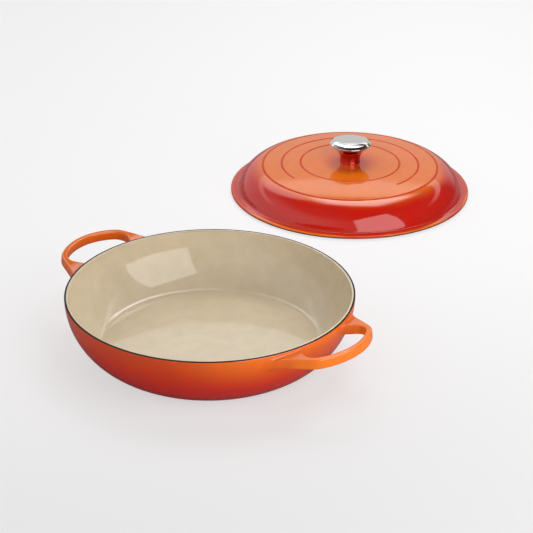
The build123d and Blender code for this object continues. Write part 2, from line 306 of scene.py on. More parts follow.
def rounded(points, rounding, hold=0.35):
    """A section with its corners rounded. rounding gives a radius for each point, or zero.

    A point on each side of a rounding, at a share of its radius, keeps the flats flat.
    """
    done = []
    count = len(points)
    for index, (point, radius) in enumerate(zip(points, rounding)):
        if not radius:
            done.append(point)
            continue
        here = Vector(point)
        back = (Vector(points[index - 1]) - here).normalized()
        ahead = (Vector(points[(index + 1) % count]) - here).normalized()
        opening = acos(max(-1.0, min(1.0, back.dot(ahead))))
        reach = radius / tan(opening / 2)
        steps = max(LEAST_ROUNDING_STEPS, ceil(degrees(pi - opening) / DEGREES_PER_STEP))
        middle = here + (back + ahead).normalized() * (radius / sin(opening / 2))
        first = here + back * reach
        last = here + ahead * reach
        start = atan2(first.y - middle.y, first.x - middle.x)
        sweep = atan2(last.y - middle.y, last.x - middle.x) - start
        sweep = (sweep + pi) % (2 * pi) - pi
        done.append(tuple(first + back * hold * radius))
        done += arc(middle, radius, start, start + sweep, steps)
        done.append(tuple(last + ahead * hold * radius))
    return done


def finished(name, mesh, body, replaced, material):
    """Make an object of a mesh, smooth it and put it in the frame."""
    bmesh.ops.recalc_face_normals(mesh, faces=mesh.faces)
    data = bpy.data.meshes.new(name)
    mesh.to_mesh(data)
    mesh.free()
    piece = bpy.data.objects.new(name, data)
    bpy.context.scene.collection.objects.link(piece)
    data.shade_smooth()
    data.materials.append(material)
    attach(piece, body)
    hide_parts(*replaced)


def turned(mesh, section, centre, turns, lift=None):
    """Add a section turned about an upright axis: a closed one, or one from axis to axis.

    lift, where given, is a function of radius, turn and height. It gives how far a place
    rises and a mark that the finish reads.
    """
    mark = mesh.verts.layers.float.new("ring_side") if lift else None
    rows = []
    for radius, height in section:
        row = []
        for step in range(turns if radius else 1):
            turn = 2 * pi * step / turns
            rise, side = lift(radius, turn, height) if lift else (0.0, 0.0)
            place = (centre.x + radius * cos(turn), centre.y + radius * sin(turn), height + rise)
            row.append(mesh.verts.new(place))
            if lift:
                row[-1][mark] = side
        rows.append(row)
    pairs = list(zip(rows, rows[1:]))
    if section[0][0]:
        pairs.append((rows[-1], rows[0]))
    for row, following in pairs:
        for step in range(turns):
            onward = (step + 1) % turns
            corners = [row[at % len(row)] for at in (step, onward)]
            corners += [following[at % len(following)] for at in (onward, step)]
            mesh.faces.new(list(dict.fromkeys(corners)))


def add_turned(name, section, centre, turns, body, slot, replaced, material, lift=None):
    """Make a piece of the part that is one turned section."""
    mesh = bmesh.new()
    turned(mesh, section, centre, turns, lift)
    finished(name, mesh, body, replaced, material)


# Pan: one round arc for the wall, upright at the rim
def wall_arc(pan):
    """Centre (radius, height) and radius of the wall's outside arc."""
    run = rim_radius - pan.base_radius
    radius = (run**2 + casting_top**2) / (2 * run)
    return (rim_radius - radius, casting_top), radius


def wall_line(pan, inset, low, steps):
    """The wall's arc set in from the outside, from a height up to the casting's top."""
    centre, radius = wall_arc(pan)
    radius -= inset
    return arc(centre, radius, -asin((casting_top - low) / radius), 0.0, steps)


def wall_distance(pan, place):
    """Distance of a place outside the pan's wall, and the wall's outward normal there."""
    centre, radius = wall_arc(pan)
    out = hypot(place.x, place.y)
    section = Vector((out - centre[0], place.z - centre[1]))
    away = section.length
    section /= away
    normal = Vector((place.x / out * section.x, place.y / out * section.x, section.y))
    return away - radius, normal


def onto_wall(pan, place):
    """The nearest place on the pan's outside wall."""
    for _ in range(NEAREST_ROUNDS):
        distance, normal = wall_distance(pan, place)
        place = place - normal * distance
    return place


# Handle: outlines from above, then a strap between them
def curved(start, corner, end, share):
    """A place on the curve from start to end that bends round a corner."""
    return start.lerp(corner, share).lerp(corner.lerp(end, share), share)


def cut_short(run, reach):
    """A run of points without its last reach, ending where it was cut."""
    run = list(run)
    while len(run) > 1:
        last = run.pop()
        span = (last - run[-1]).length
        if span > reach:
            return run + [last.lerp(run[-1], reach / span)]
        reach -= span
    return run


def softened(runs, reaches):
    """Join runs of points end to end. Each joint becomes a curve that reaches back along both.

    Also gives the index of the middle of each curve.
    """
    joined = list(runs[0])
    knots = []
    for run, reach in zip(runs[1:], reaches):
        corner = joined[-1]
        before = cut_short(joined, reach)
        after = cut_short(list(reversed(run)), reach)[::-1]
        curve = [
            curved(before[-1], corner, after[0], step / SOFTENING_STEPS)
            for step in range(1, SOFTENING_STEPS)
        ]
        knots.append(len(before) - 1 + SOFTENING_STEPS // 2)
        joined = before + curve + after
    return joined, knots


def spaced(line, count):
    """The same line with its points evenly spaced, both ends kept."""
    lengths = [0.0]
    for first, second in zip(line, line[1:]):
        lengths.append(lengths[-1] + (second - first).length)
    done = []
    index = 0
    for step in range(count + 1):
        goal = lengths[-1] * step / count
        while index < len(line) - 2 and lengths[index + 1] < goal:
            index += 1
        span = lengths[index + 1] - lengths[index]
        done.append(line[index].lerp(line[index + 1], (goal - lengths[index]) / span))
    return done


def half_outline(end_centre, end_radius, corner, flank, root, reaches):
    """One side of a handle's outline from its tip to its root, spaced alike on every outline."""
    sweep = asin(corner.y / end_radius)
    tip = [Vector(p) for p in arc((end_centre, 0.0), end_radius, 0.0, sweep, steps=40)]
    line, knots = softened([tip, [tip[-1], flank], [flank, root]], reaches)
    parts = [line[: knots[0] + 1], line[knots[0] : knots[1] + 1], line[knots[1] :]]
    done = []
    for part, count in zip(parts, OUTLINE_STEPS):
        done += spaced(part, count)[1 if done else 0 :]
    return done


def strap_outlines(pan):
    """The outer and the inner outline of half a handle, from the tip to inside the wall."""
    end_centre = pan.projection - pan.end_radius
    outer_corner = Vector((0, pan.end_half_width))
    flank = Vector((-pan.flank_setback, pan.flank_half_width))
    inside = rim_radius - 2 * (pan.wall + pan.coat)
    root = Vector((sqrt(inside**2 - pan.root_half_width**2) - rim_radius, pan.root_half_width))
    outer = half_outline(end_centre, pan.end_radius, outer_corner, flank, root, OUTER_SOFTENING)
    hole_radius = pan.end_radius - pan.strap
    hole_corner = Vector((0, pan.end_half_width - pan.side_strap))
    hole_end = end_centre + sqrt(hole_radius**2 - hole_corner.y**2)
    widest = Vector((hole_end - pan.hole_setback, hole_corner.y + pan.hole_belly))
    hole_root = Vector((-pan.hole_root_depth, pan.hole_root_half_width))
    inner = half_outline(end_centre, hole_radius, hole_corner, widest, hole_root, HOLE_SOFTENING)
    return outer, inner


def tilted(pan, along, side, drop):
    """A place of the flat handle, tilted up at the rim. drop is the depth under its top face."""
    rise, flat = sin(pan.handle_rise), cos(pan.handle_rise)
    out = rim_radius + along * flat + drop * rise
    return Vector((out, side, pan_height - pan.handle_drop + along * rise - drop * flat))


def dip_at(pan, out):
    """How far the handle's top dips, at a distance out from the rim."""
    inward = max(0.0, pan.dip_start - out)
    bend = pan.dip_slope * pan.dip_radius
    if inward > bend:
        return pan.dip_slope * (inward - bend / 2)
    return inward**2 / (2 * pan.dip_radius)


def strap_ring(pan, inner, outer, inner_skew, outer_skew):
    """Points round the strap's section, from its lower inner corner over the top and back."""
    across = (outer - inner).length
    tip = pan.plate_tip * max(0.0, across - pan.strap - pan.side_strap) / across
    ring = []
    for side, drop, radius, skew, first in (
        (0.0, pan.handle_depth, pan.handle_bottom_round, inner_skew, pi / 2),
        (0.0, 0.0, pan.handle_top_round, inner_skew, pi),
        (across, 0.0, pan.handle_top_round, outer_skew, 3 * pi / 2),
        (across, pan.handle_depth, pan.handle_bottom_round, outer_skew, 2 * pi),
    ):
        wide = min(radius * skew, across * STRAP_ROUND_SHARE)
        middle = (abs(side - wide), abs(drop - radius))
        for step in range(CORNER_STEPS + 1):
            turn = first + pi / 2 * step / CORNER_STEPS
            ring.append((middle[0] + wide * cos(turn), middle[1] + radius * sin(turn)))
    places = []
    for index, (first, second) in enumerate(zip(ring, ring[1:] + ring[:1])):
        shares = [0.0]
        if index % (CORNER_STEPS + 1) == CORNER_STEPS:
            span = hypot(second[0] - first[0], second[1] - first[1])
            hold = min(FLAT_HOLD / span, FLAT_HOLD_SHARE)
            shares = [0.0, hold, 0.5, 1 - hold]
        for share in shares:
            side = first[0] + (second[0] - first[0]) * share
            drop = first[1] + (second[1] - first[1]) * share
            flat = inner.lerp(outer, side / across)
            upper = 1 - drop / pan.handle_depth
            drop += (dip_at(pan, flat.x) + tip * side) * upper
            places.append(tilted(pan, flat.x, flat.y, drop))
    return places


def skew_of(line, index, across):
    """How much a section leans from square to an outline, as one over the sine."""
    before = line[max(index - 1, 0)]
    after = line[min(index + 1, len(line) - 1)]
    along = (after - before).normalized()
    return 1.0 / max(LEAST_LEAN, abs(along.x * across.y - along.y * across.x))


def strap_rows(pan):
    """Rings of points of half a strap, from its tip on to inside the wall."""
    outer, inner = strap_outlines(pan)
    rows = []
    for index, (out, into) in enumerate(zip(outer, inner)):
        across = (out - into).normalized()
        skews = [skew_of(line, index, across) for line in (inner, outer)]
        rows.append(strap_ring(pan, into, out, *skews))
    return rows


def blend_directions(pan, rails, feet, creases):
    """For each point where the strap meets the wall, the way along the wall out of the strap."""
    count = len(creases)
    middle = sum(creases, Vector()) / count
    sides = []
    for track, (rail, foot, crease) in enumerate(zip(rails, feet, creases)):
        around = creases[(track + 1) % count] - creases[track - 1]
        inward = (crease - rail[foot - ROWS_BACK]).normalized()
        _, normal = wall_distance(pan, crease)
        side = around.cross(inward)
        sides.append((side - normal * side.dot(normal)).normalized())
    facing = sum(side.dot(crease - middle) for side, crease in zip(sides, creases))
    return [-side for side in sides] if facing < 0 else sides


def root_column(pan, rail, far, foot, crease, side):
    """One line of a handle's root: along the strap, over the hollow blend and into the wall."""
    blend = pan.root_blend
    if side.z > 0:
        room = RIM_ROOM_SHARE * (casting_top - RIM_CLEARANCE - crease.z)
        blend = min(blend, blend * (1 - side.z) + room * side.z, room / max(side.z, LEAST_RISE))
    first = next(i for i in range(foot, 0, -1) if far[i] > blend)
    begin = first + (blend - far[first]) / (far[first + 1] - far[first])
    column = []
    for step in range(1, ROOT_STEPS + 1):
        at = LAST_FREE_ROW + (begin - LAST_FREE_ROW) * step / ROOT_STEPS
        low = min(int(at), len(rail) - 2)
        column.append(rail[low].lerp(rail[low + 1], at - low))
    start = column[-1]
    stop = onto_wall(pan, crease + side * blend)
    for step in range(1, BLEND_STEPS):
        column.append(curved(start, crease, stop, step / BLEND_STEPS))
    _, normal = wall_distance(pan, stop)
    return column + [stop - normal * SEAM_DEPTH, stop - normal * SINK_DEPTH]


def handle_rows(pan):
    """Rows of points of half a handle, from its tip to where it sinks into the wall."""
    rows = strap_rows(pan)
    rails = list(zip(*rows))
    distances = [[wall_distance(pan, place)[0] for place in rail] for rail in rails]
    feet, creases = [], []
    for rail, far in zip(rails, distances):
        foot = next(i for i in range(LAST_FREE_ROW, len(rail)) if far[i] < 0.0)
        share = far[foot - 1] / (far[foot - 1] - far[foot])
        feet.append(foot)
        creases.append(onto_wall(pan, rail[foot - 1].lerp(rail[foot], share)))
    sides = blend_directions(pan, rails, feet, creases)
    tracks = zip(rails, distances, feet, creases, sides)
    columns = [root_column(pan, *track) for track in tracks]
    return rows[: LAST_FREE_ROW + 1] + [list(row) for row in zip(*columns)]


def add_handle(mesh, pan, turn):
    """Add one loop handle, turned about the pan's axis."""
    half = handle_rows(pan)
    mirrored = [[Vector((p.x, -p.y, p.z)) for p in row] for row in half]
    rows = mirrored[:0:-1] + half
    spin = Matrix.Rotation(turn, 4, "Z")
    made = [[mesh.verts.new(spin @ place) for place in row] for row in rows]
    for row, following in zip(made, made[1:]):
        for index in range(len(row)):
            onward = (index + 1) % len(row)
            mesh.faces.new((row[index], row[onward], following[onward], following[index]))
    mesh.faces.new(made[0])
    mesh.faces.new(list(reversed(made[-1])))


class BRAISER_OT_pan_body(Operator):
    """Build the pan's iron body with its outside enamel and both loop handles"""

    bl_idname = "braiser.pan_body"
    bl_label = "Pan Body and Handles"

    def execute(self, context):
        pan, finish, stage = settings("pan", "finish", "stage")
        outside = wall_line(pan, 0.0, 0.0, steps=60)[BASE_STEPS:]
        inside = wall_line(pan, pan.wall, pan.floor, steps=24)
        base = rounded([(0.0, 0.0), (pan.base_radius, 0.0), outside[0]], [0, pan.base_round, 0])
        section = base + outside[1:] + inside[::-1] + [(0.0, pan.floor)]
        mesh = bmesh.new()
        turned(mesh, section, Vector(), stage.turns)
        for turn in (0.0, pi):
            add_handle(mesh, pan, turn)
        finished("pan_body", mesh, "pan", ["pan_casting"], pan_enamel(finish))
        return {"FINISHED"}


class BRAISER_OT_pan_inside(Operator):
    """Build the sand enamel that lines the pan"""

    bl_idname = "braiser.pan_inside"
    bl_label = "Pan Inside Enamel"

    def execute(self, context):
        pan, finish, stage = settings("pan", "finish", "stage")
        floor = pan.floor + pan.coat
        centre, radius = wall_arc(pan)
        radius -= pan.wall + pan.coat
        crease_height = floor + pan.crease
        crease_turn = asin((centre[1] - crease_height) / (radius - pan.crease))
        crease_centre = (centre[0] + (radius - pan.crease) * cos(crease_turn), crease_height)
        crease = arc(crease_centre, pan.crease, -pi / 2, -crease_turn, steps=14)
        wall_foot = crease[-1][1] + CREASE_CLEARANCE
        wall = wall_line(pan, pan.wall + pan.coat, floor, steps=60)
        wall = [place for place in wall if place[1] > wall_foot]
        inner = rim_radius - pan.band_width
        lip = [wall[-1], (wall[-1][0], pan_height), (inner, pan_height), (inner, casting_top)]
        lip = rounded(lip, [0, pan.rim_round, 0, 0])
        back = wall_line(pan, pan.wall, pan.floor, steps=40)[::-1]
        flat = [(crease_centre[0] * step / FLOOR_STEPS, floor) for step in range(FLOOR_STEPS)]
        section = flat + crease + wall[:-1] + lip + back + [(0.0, pan.floor)]
        look = ("pan", "inside_enamel", ["pan_interior_enamel"], sand_enamel(finish))
        add_turned("pan_lining", section, Vector(), stage.turns, *look)
        return {"FINISHED"}


def band(inner, low, high, low_round, high_round):
    """Section of a band that ends at the rim's radius, with its outer corners rounded."""
    corners = [(inner, low), (rim_radius, low), (rim_radius, high), (inner, high)]
    return rounded(corners, [0, low_round, high_round, 0])


class BRAISER_OT_rim_bands(Operator):
    """Build the matt black bands where the pan's rim and the lid's flange meet"""

    bl_idname = "braiser.rim_bands"
    bl_label = "Rim Bands"

    def execute(self, context):
        pan, lid, finish, stage = settings("pan", "lid", "finish", "stage")
        matt = black_enamel(finish)
        section = band(rim_radius - pan.band_width, casting_top, pan_height, 0, pan.band_round)
        look = ("pan", "rim_enamel", ["pan_rim_coat"], matt)
        add_turned("pan_rim_band", section, Vector(), stage.turns, *look)
        lip = rim_radius - lid.lip_setback
        lid_round = (lid_flange_bottom - lid_lip_depth) * LID_BAND_ROUND_SHARE
        section = band(lip, lid_lip_depth, lid_flange_bottom, lid_round, 0)
        look = ("lid", "rim_enamel", ["lid_rim_coat"], matt)
        add_turned("lid_rim_band", section, lid_centre, stage.turns, *look)
        return {"FINISHED"}


# Lid: a wide crown that runs into a round shoulder
def lid_arcs(lid):
    """Height of the crown's centre, the shoulder's centre, and the turn where they meet."""
    crown = lid_apex - sqrt(lid.crown_radius**2 - lid.seat_radius**2)
    shoulder_out = rim_radius - lid.dome_setback - lid.shoulder_radius
    inner_radius = lid.crown_radius - lid.shoulder_radius
    shoulder_up = crown + sqrt(inner_radius**2 - shoulder_out**2)
    meet = asin((shoulder_up - crown) / inner_radius)
    return crown, (shoulder_out, shoulder_up), meet


def ring_radii(lid):
    """Radii of the three rings' crests, from the outer ring inwards."""
    outer = rim_radius - lid.dome_setback - lid.outer_ring_inset
    return [outer - count * lid.ring_spacing for count in range(3)]


def ring_lift(lid):
    """A function of a place on the lid: the rings' height there, and a mark on the rings."""
    rings = list(zip(ring_radii(lid), (0.0, lid.ring_gap, 0.0)))
    reach = max(lid.ring_inner_side, lid.ring_outer_side)

    def ease(value):
        value = max(0.0, min(1.0, value))
        return value * value * (3 - 2 * value)

    def lift(radius, turn, height):
        if height < lid_apex * CROWN_HEIGHT_SHARE:
            return 0.0, 0.0
        for ring, gap in rings:
            beyond = radius - ring
            off = abs(beyond)
            if gap:
                aside = abs((turn - lid.ring_gap_direction + pi) % (2 * pi) - pi)
                short = gap / 2 + lid.ring_outer_side / ring - aside
                if short > 0:
                    off = hypot(off, short * ring)
            if off < reach:
                inward = (1 - beyond / off) / 2 if off else 1.0
                width = lid.ring_outer_side
                width += (lid.ring_inner_side - lid.ring_outer_side) * inward
                share = 1 - off / width
                return lid.ring_height * ease(share), ease(RING_DARKENING_STEEPNESS * share)
        return 0.0, 0.0

    return lift


def crown_radii(lid, end):
    """Distances from the axis for the crown's rows, close together on the rings."""
    marks = {lid.seat_radius}
    reach = max(lid.ring_inner_side, lid.ring_outer_side)
    for ring in ring_radii(lid):
        for step in range(-RING_STEPS, RING_STEPS + 1):
            marks.add(ring + reach * step / RING_STEPS)
    plain = lid.seat_radius
    while plain < end:
        if all(abs(plain - mark) > LEAST_CROWN_STEP for mark in marks):
            marks.add(plain)
        plain += CROWN_STEP
    return sorted(marks)


def inner_line(lid, inset, steps):
    """A line under the lid's outside by an inset, from the knob's seat down to the lip."""
    crown, shoulder, meet = lid_arcs(lid)
    radius = lid.shoulder_radius - inset
    foot = asin(-shoulder[1] / radius)
    meet_out = shoulder[0] + radius * cos(meet)
    line = []
    for step in range(CEILING_STEPS):
        out = lid.seat_radius + (meet_out - lid.seat_radius) * step / CEILING_STEPS
        line.append((out, crown + sqrt((lid.crown_radius - inset) ** 2 - out**2)))
    return line + arc(shoulder, radius, meet, foot, steps)


class BRAISER_OT_lid_body(Operator):
    """Build the lid's iron body with its outside enamel, raised rings, flange and lip"""

    bl_idname = "braiser.lid_body"
    bl_label = "Lid Body"

    def execute(self, context):
        lid, finish, stage = settings("lid", "finish", "stage")
        crown, shoulder, meet = lid_arcs(lid)
        meet_out = shoulder[0] + lid.shoulder_radius * cos(meet)
        flange_edge = lid_lip_depth + lid.flange
        flange_root = flange_edge + lid.flange_rise
        foot = asin((flange_root - shoulder[1]) / lid.shoulder_radius)
        top = []
        for out in crown_radii(lid, ring_radii(lid)[0] + 2 * lid.ring_inner_side):
            if out < meet_out:
                up = crown + sqrt(lid.crown_radius**2 - out**2)
            else:
                up = shoulder[1] + sqrt(lid.shoulder_radius**2 - (out - shoulder[0]) ** 2)
            top.append((out, up))
        last_turn = acos((top[-1][0] - shoulder[0]) / lid.shoulder_radius)
        side = arc(shoulder, lid.shoulder_radius, last_turn, foot, steps=44)[1:]
        clear_height = flange_root + FOOT_CLEARANCE_SHARE * lid.foot_round
        clear = [place for place in side if place[1] > clear_height]
        lip = rim_radius - lid.lip_setback
        flange = [clear[-1], side[-1], (rim_radius, flange_edge), (rim_radius, lid_flange_bottom)]
        flange += [(lip, lid_flange_bottom), (lip, 0.0)]
        flange = rounded(flange, [0, lid.foot_round, lid.flange_round, 0, 0, 0])
        inside = inner_line(lid, lid.thickness - lid.coat, steps=30)[::-1]
        inside = [place for place in inside if place[1] >= 0.0]
        hole = [(lid.screw_hole, height) for height in (lid_apex, inside[-1][1])]
        section = hole[:1] + top + clear[:-1] + flange + inside + hole[1:]
        look = ("lid", "outside_enamel", ["lid_casting"], lid_enamel(finish), ring_lift(lid))
        add_turned("lid_body", section, lid_centre, 3 * stage.turns // 2, *look)
        return {"FINISHED"}


class BRAISER_OT_lid_inside(Operator):
    """Build the sand enamel that lines the lid"""

    bl_idname = "braiser.lid_inside"
    bl_label = "Lid Inside Enamel"

    def execute(self, context):
        lid, finish, stage = settings("lid", "finish", "stage")
        face = inner_line(lid, lid.thickness, steps=40)
        back = inner_line(lid, lid.thickness - lid.coat, steps=40)
        edge = [(lid.washer_clearance, line[0][1]) for line in (back, face)]
        section = edge[:1] + back + face[::-1] + edge[1:]
        look = ("lid", "inside_enamel", ["lid_interior_enamel"], sand_enamel(finish))
        add_turned("lid_lining", section, lid_centre, stage.turns, *look)
        return {"FINISHED"}


class BRAISER_OT_knob(Operator):
    """Build the knob's polished cap and its waisted stem"""

    bl_idname = "braiser.knob"
    bl_label = "Knob"

    def execute(self, context):
        lid, finish, stage = settings("lid", "finish", "stage")
        steel = polished_steel(finish)
        centre = (lid.waist_radius + lid.stem_arc, lid_apex + lid.waist_height)
        foot = pi + asin(lid.waist_height / lid.stem_arc)
        neck = pi - asin((neck_height - centre[1]) / lid.stem_arc)
        neck_edge = (centre[0] + lid.stem_arc * cos(neck), neck_height)
        shoulder_up = cap_top - lid.disc_rise - lid.cap_shoulder_drop
        bevel_up = shoulder_up - lid.cap_bevel_drop
        disc = []
        for step in range(DISC_STEPS + 1):
            out = lid.disc_radius * step / DISC_STEPS
            disc.append((out, cap_top - lid.disc_rise * (out / lid.disc_radius) ** 2))
        cap = [disc[-1], (lid.cap_shoulder, shoulder_up), (cap_radius, bevel_up)]
        cap += [(cap_radius, bevel_up - lid.cap_edge), neck_edge, (0.0, neck_height)]
        section = disc[:-1] + rounded(cap, [0, *CAP_ROUNDINGS, 0, 0])
        look = ("lid", "polished_steel", ["knob_cap"], steel)
        add_turned("knob_top", section, lid_centre, stage.turns // 2, *look)
        insert_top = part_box("knob_insert")[1].z
        bore = [(lid.insert_radius, lid_apex), (lid.insert_radius, insert_top), (0.0, insert_top)]
        side = arc(centre, lid.stem_arc, neck, foot, steps=28)
        section = [(0.0, neck_height)] + side + bore
        look = ("lid", "polished_steel", ["knob_stem"], steel)
        add_turned("knob_post", section, lid_centre, stage.turns // 2, *look)
        return {"FINISHED"}


class BRAISER_OT_fixings(Operator):
    """Finish the screw, washer and insert that hold the knob"""

    bl_idname = "braiser.fixings"
    bl_label = "Knob Screw, Washer and Insert"

    def execute(self, context):
        steel = plain_steel(context.scene.braiser_finish)
        for name in ("knob_screw", "knob_washer", "knob_insert"):
            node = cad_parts[name]
            node.data.materials.clear()
            node.data.materials.append(steel)
        return {"FINISHED"}


# Finishes
def feed(tree, node, sockets):
    """Give each named socket of a node its value, or link it where the value is a socket."""
    for name, value in sockets.items():
        if isinstance(value, bpy.types.NodeSocket):
            tree.links.new(value, node.inputs[name])
        else:
            node.inputs[name].default_value = value


def add_node(tree, kind, sockets=None, **options):
    """Add a node with its options set and its sockets fed, and give its outputs."""
    made = tree.nodes.new(kind)
    for name, value in options.items():
        setattr(made, name, value)
    feed(tree, made, sockets or {})
    return made.outputs


def new_material(name):
    """A material, its tree, its main shader, and the place on the piece in the frame at rest."""
    material = bpy.data.materials.new(name)
    material.use_nodes = True
    tree = material.node_tree
    place = add_node(tree, "ShaderNodeTexCoord")["Object"]
    return material, tree, tree.nodes["Principled BSDF"], place


def noise(tree, place, scale, detail=3.0, roughness=0.5):
    """Noise whose features are one over the scale in size, in metres."""
    sockets = {"Vector": place, "Scale": scale, "Detail": detail, "Roughness": roughness}
    return add_node(tree, "ShaderNodeTexNoise", sockets)["Fac"]


def ramp(tree, value, low, high, start=0.0, end=1.0):
    """An eased step from start to end while the value goes from low to high."""
    sockets = {"Value": value, "From Min": low, "From Max": high, "To Min": start, "To Max": end}
    made = add_node(tree, "ShaderNodeMapRange", sockets, interpolation_type="SMOOTHSTEP")
    return made["Result"]


def maths(tree, operation, first, second=0.0):
    """One step of arithmetic on two numbers or sockets."""
    return add_node(tree, "ShaderNodeMath", {0: first, 1: second}, operation=operation)[0]


def vector_maths(tree, operation, first, second=(0.0, 0.0, 0.0)):
    """One step of arithmetic on two vectors: its outputs, Vector and Value."""
    return add_node(tree, "ShaderNodeVectorMath", {0: first, 1: second}, operation=operation)


def split(tree, vector):
    """The three parts of a vector: X, Y and Z."""
    return add_node(tree, "ShaderNodeSeparateXYZ", {"Vector": vector})


def out_from(tree, place, x=0.0, y=0.0):
    """Distance of a place from an upright axis."""
    centred = vector_maths(tree, "SUBTRACT", place, (x, y, 0.0))["Vector"]
    level_part = vector_maths(tree, "MULTIPLY", centred, (1.0, 1.0, 0.0))["Vector"]
    return vector_maths(tree, "LENGTH", level_part)["Value"]


def mixed(tree, share, first, second):
    """A blend of two numbers or sockets. share is the part of the second."""
    return add_node(tree, "ShaderNodeMix", {0: share, 2: first, 3: second}, data_type="FLOAT")[0]


def blended(tree, share, first, second):
    """A blend of two colours, each a colour or a socket. share is the part of the second."""
    sockets = {0: share}
    for index, value in ((6, first), (7, second)):
        sockets[index] = value if isinstance(value, bpy.types.NodeSocket) else (*value, 1.0)
    return add_node(tree, "ShaderNodeMix", sockets, data_type="RGBA")[2]


def bump(tree, height, strength, distance):
    """A normal that leans as a surface would, with a height that rises to a distance."""
    sockets = {"Strength": strength, "Distance": distance, "Height": height}
    return add_node(tree, "ShaderNodeBump", sockets)["Normal"]


def enamel_surface(tree, shader, place, shade, roughness):
    """Glassy enamel: its colour, fine clouding, uneven gloss and a slight orange-peel skin."""
    clouds = ramp(tree, noise(tree, place, 55.0, 4.0, 0.6), 0.35, 0.65)
    toned = blended(tree, maths(tree, "MULTIPLY", clouds, CLOUD_SHARE), shade, CLOUD_COLOUR)
    smears = noise(tree, place, 140.0)
    gloss = ramp(tree, smears, 0.3, 0.7, roughness * 0.8, roughness * 1.25)
    fine = maths(tree, "MULTIPLY", noise(tree, place, 520.0, 2.0), FINE_WAVE_SHARE)
    skin = maths(tree, "ADD", noise(tree, place, 38.0, 1.0), fine)
    normal = bump(tree, skin, 1.0, ENAMEL_WAVE)
    sockets = {"Base Color": toned, "Roughness": gloss, "Normal": normal, "IOR": ENAMEL_IOR}
    feed(tree, shader, sockets)


def drifted(tree, place, value, reach):
    """A length that drifts up and down slowly over the piece, by a reach."""
    drift = ramp(tree, noise(tree, place, 9.0, 2.0), 0.3, 0.7, -reach, reach)
    return maths(tree, "ADD", value, drift)


def pan_enamel(finish):
    """Outside enamel of the pan: red at the base, orange at the rim and the handles, with painted
    shade that makes the wall between the handles and the left handle redder.
    """
    material, tree, shader, place = new_material("pan_outside_enamel")
    parts = split(tree, place)
    height = drifted(tree, place, parts["Z"], 4.0 * MM)
    wall = ramp(tree, height, 22.0 * MM, 84.0 * MM)
    aside = maths(tree, "ABSOLUTE", parts["X"])
    # Painted shade: the wall is redder away from the handles, which darkens the front-left side
    painted_shade_off_handles = ramp(tree, aside, 60.0 * MM, 150.0 * MM, 0.38, 1.0)
    beyond_rim = ramp(tree, out_from(tree, place), 163.5 * MM, 185.0 * MM)
    # Painted shade: the left handle is redder than the right one
    painted_shade_left_handle = ramp(tree, parts["X"], -150.0 * MM, 150.0 * MM, 0.2, 1.0)
    wall = maths(tree, "MULTIPLY", wall, painted_shade_off_handles)
    handle = maths(tree, "MULTIPLY", beyond_rim, painted_shade_left_handle)
    share = maths(tree, "MAXIMUM", wall, handle)
    shade = blended(tree, share, finish.red, finish.orange)
    enamel_surface(tree, shader, place, shade, roughness=0.07)
    return material


def lid_enamel(finish):
    """Outside enamel of the lid: orange crown, red side, orange edge whose lowest part is black:
    the black rim, widened as painted shadow under the flange.
    """
    material, tree, shader, place = new_material("lid_outside_enamel")
    height = split(tree, place)["Z"]
    out = drifted(tree, place, out_from(tree, place, lid_centre.x, lid_centre.y), 3.0 * MM)
    crown = ramp(tree, out, 116.0 * MM, 140.0 * MM, 1.0, 0.0)
    crown = maths(tree, "MULTIPLY", crown, ramp(tree, out, 12.0 * MM, 50.0 * MM, 0.35, 1.0))
    flange = ramp(tree, out, 156.0 * MM, 162.0 * MM, 0.0, 0.2)
    edge = ramp(tree, out, 163.4 * MM, 165.0 * MM, 0.0, 0.9)
    share = maths(tree, "MAXIMUM", maths(tree, "MAXIMUM", crown, flange), edge)
    # The enamel is darker and less glossy on the rings, most on their tops
    mark = add_node(tree, "ShaderNodeAttribute", attribute_name="ring_side")["Fac"]
    clear = maths(tree, "SUBTRACT", 1.0, maths(tree, "MULTIPLY", mark, RING_DARKENING_SHARE))
    share = maths(tree, "MULTIPLY", share, clear)
    # Partly real black rim, partly painted shadow: the black climbs about a millimetre up the
    # flange's edge to stand for the shadow under it
    black_rim_and_shadow_top = (lid_flange_bottom + 0.9 * MM, lid_flange_bottom + 1.3 * MM)
    black_rim_and_shadow_low = ramp(tree, height, *black_rim_and_shadow_top, 1.0, 0.0)
    black = maths(tree, "MULTIPLY", black_rim_and_shadow_low, ramp(tree, out, 163.8 * MM, 164.4 * MM))
    shade = blended(tree, share, finish.red, finish.orange)
    shade = blended(tree, black, shade, finish.black)
    enamel_surface(tree, shader, place, shade, roughness=0.07)
    dark = maths(tree, "MAXIMUM", mark, black)
    lost = maths(tree, "MULTIPLY", dark, DULLED_SHARE)
    gleam = maths(tree, "SUBTRACT", PLAIN_SPECULAR, lost)
    feed(tree, shader, {"Specular IOR Level": gleam})
    return material


def sand_enamel(finish):
    """Inside enamel, shared by pan and lid: glossy sand with a faint fleck."""
    name = "sand_enamel"
    if name in bpy.data.materials:
        return bpy.data.materials[name]
    material, tree, shader, place = new_material(name)
    flecks = ramp(tree, noise(tree, place, 900.0, 2.0), 0.62, 0.78)
    share = maths(tree, "MULTIPLY", flecks, FLECK_SHARE)
    shade = blended(tree, share, finish.sand, FLECK_COLOUR)
    enamel_surface(tree, shader, place, shade, roughness=0.08)
    return material


def black_enamel(finish):
    """Matt band on the rim, finely pitted."""
    material, tree, shader, place = new_material("rim_black")
    pits = ramp(tree, noise(tree, place, 700.0), 0.3, 0.7)
    sockets = {
        "Base Color": blended(tree, pits, finish.black, PIT_COLOUR),
        "Specular IOR Level": 0.10,
        "Roughness": ramp(tree, pits, 0.0, 1.0, 0.45, 0.6),
        "Normal": bump(tree, pits, 0.6, 0.02 * MM),
    }
    feed(tree, shader, sockets)
    return material


